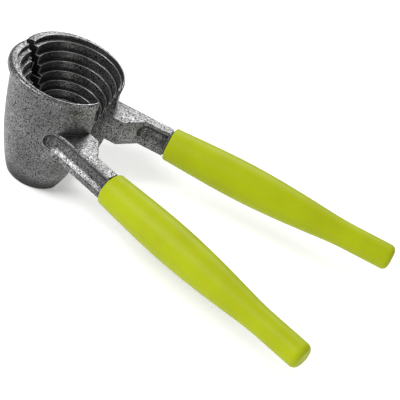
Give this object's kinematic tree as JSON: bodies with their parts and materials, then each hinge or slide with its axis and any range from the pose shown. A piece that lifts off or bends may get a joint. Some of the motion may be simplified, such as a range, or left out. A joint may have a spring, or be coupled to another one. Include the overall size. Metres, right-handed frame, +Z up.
{
  "type": "nutcracker",
  "caption": "Hand nutcracker: hinged half-shells with a stepped funnel inside close on a nut as the gripped handles are squeezed, and the pieces drop through the foot.",
  "frame": {"origin": "middle of the open nutcracker's length and width, at the level of its foot", "axes": "+Z up along the cup and the hinge pin, +X from the cup towards the handle ends, +Y towards the rear half; the open halves mirror each other about the XZ plane"},
  "size_m": [0.2002, 0.1138, 0.058],
  "materials": {
    "hammertone_casting": "silver-grey hammertone enamel with dark flecks on a casting",
    "grip_plastic": "satin lime-green moulded plastic",
    "pin_steel": "bright zinc-plated steel"
  },
  "bodies": {
    "front_half": {"front_jaw": "hammertone_casting", "front_grip": "grip_plastic", "hinge_pin": "pin_steel"},
    "rear_half": {"rear_jaw": "hammertone_casting", "rear_grip": "grip_plastic"}
  },
  "joints": [
    {"name": "jaw_hinge", "type": "hinge", "parent": "front_half", "child": "rear_half", "pos_m": [-0.0971, 0, 0.0453], "axis": [0, 0, 1], "range_deg": [-22.6, 30]}
  ]
}
